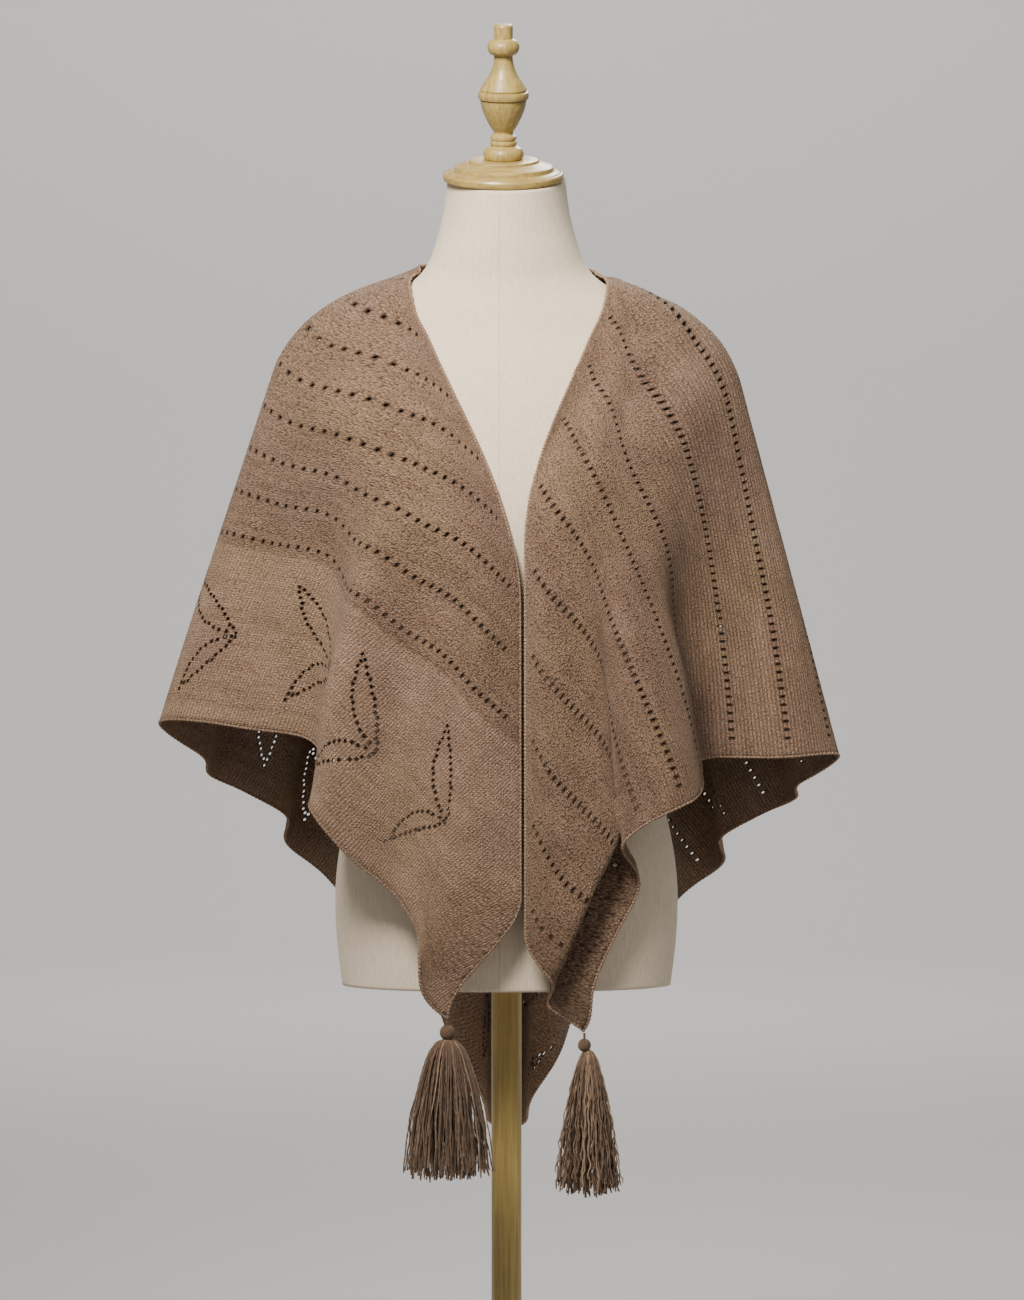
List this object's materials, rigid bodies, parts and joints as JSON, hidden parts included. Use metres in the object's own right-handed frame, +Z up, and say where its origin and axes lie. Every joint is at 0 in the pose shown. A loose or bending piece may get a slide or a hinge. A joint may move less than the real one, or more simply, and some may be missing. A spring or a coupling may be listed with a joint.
{
  "type": "lace shawl on limbless dress form",
  "caption": "Knitted lace shawl, a half square with a tassel at each front point, draped over a limbless dress form with a turned cap on a pole and round base.",
  "frame": {"origin": "middle of the underside of the round base, on the floor", "axes": "+Z up, the front of the form towards -Y, the wearer's left towards +X"},
  "size_m": [0.6815, 0.4017, 1.6133],
  "materials": {
    "shawl_knit": "fine brushed wool knit with lace eyelets",
    "tassel_yarn": "plied wool yarn",
    "form_cloth": "smooth covering cloth",
    "turned_wood": "satin varnish",
    "stand_wood": "satin varnish"
  },
  "bodies": {
    "root": {"shawl": "shawl_knit", "knot_left": "tassel_yarn", "knot_right": "tassel_yarn", "tassel_left": "tassel_yarn", "tassel_right": "tassel_yarn", "torso": "form_cloth", "neck_cap": "turned_wood", "finial": "turned_wood", "pole": "stand_wood", "base": "stand_wood"}
  },
  "joints": []
}
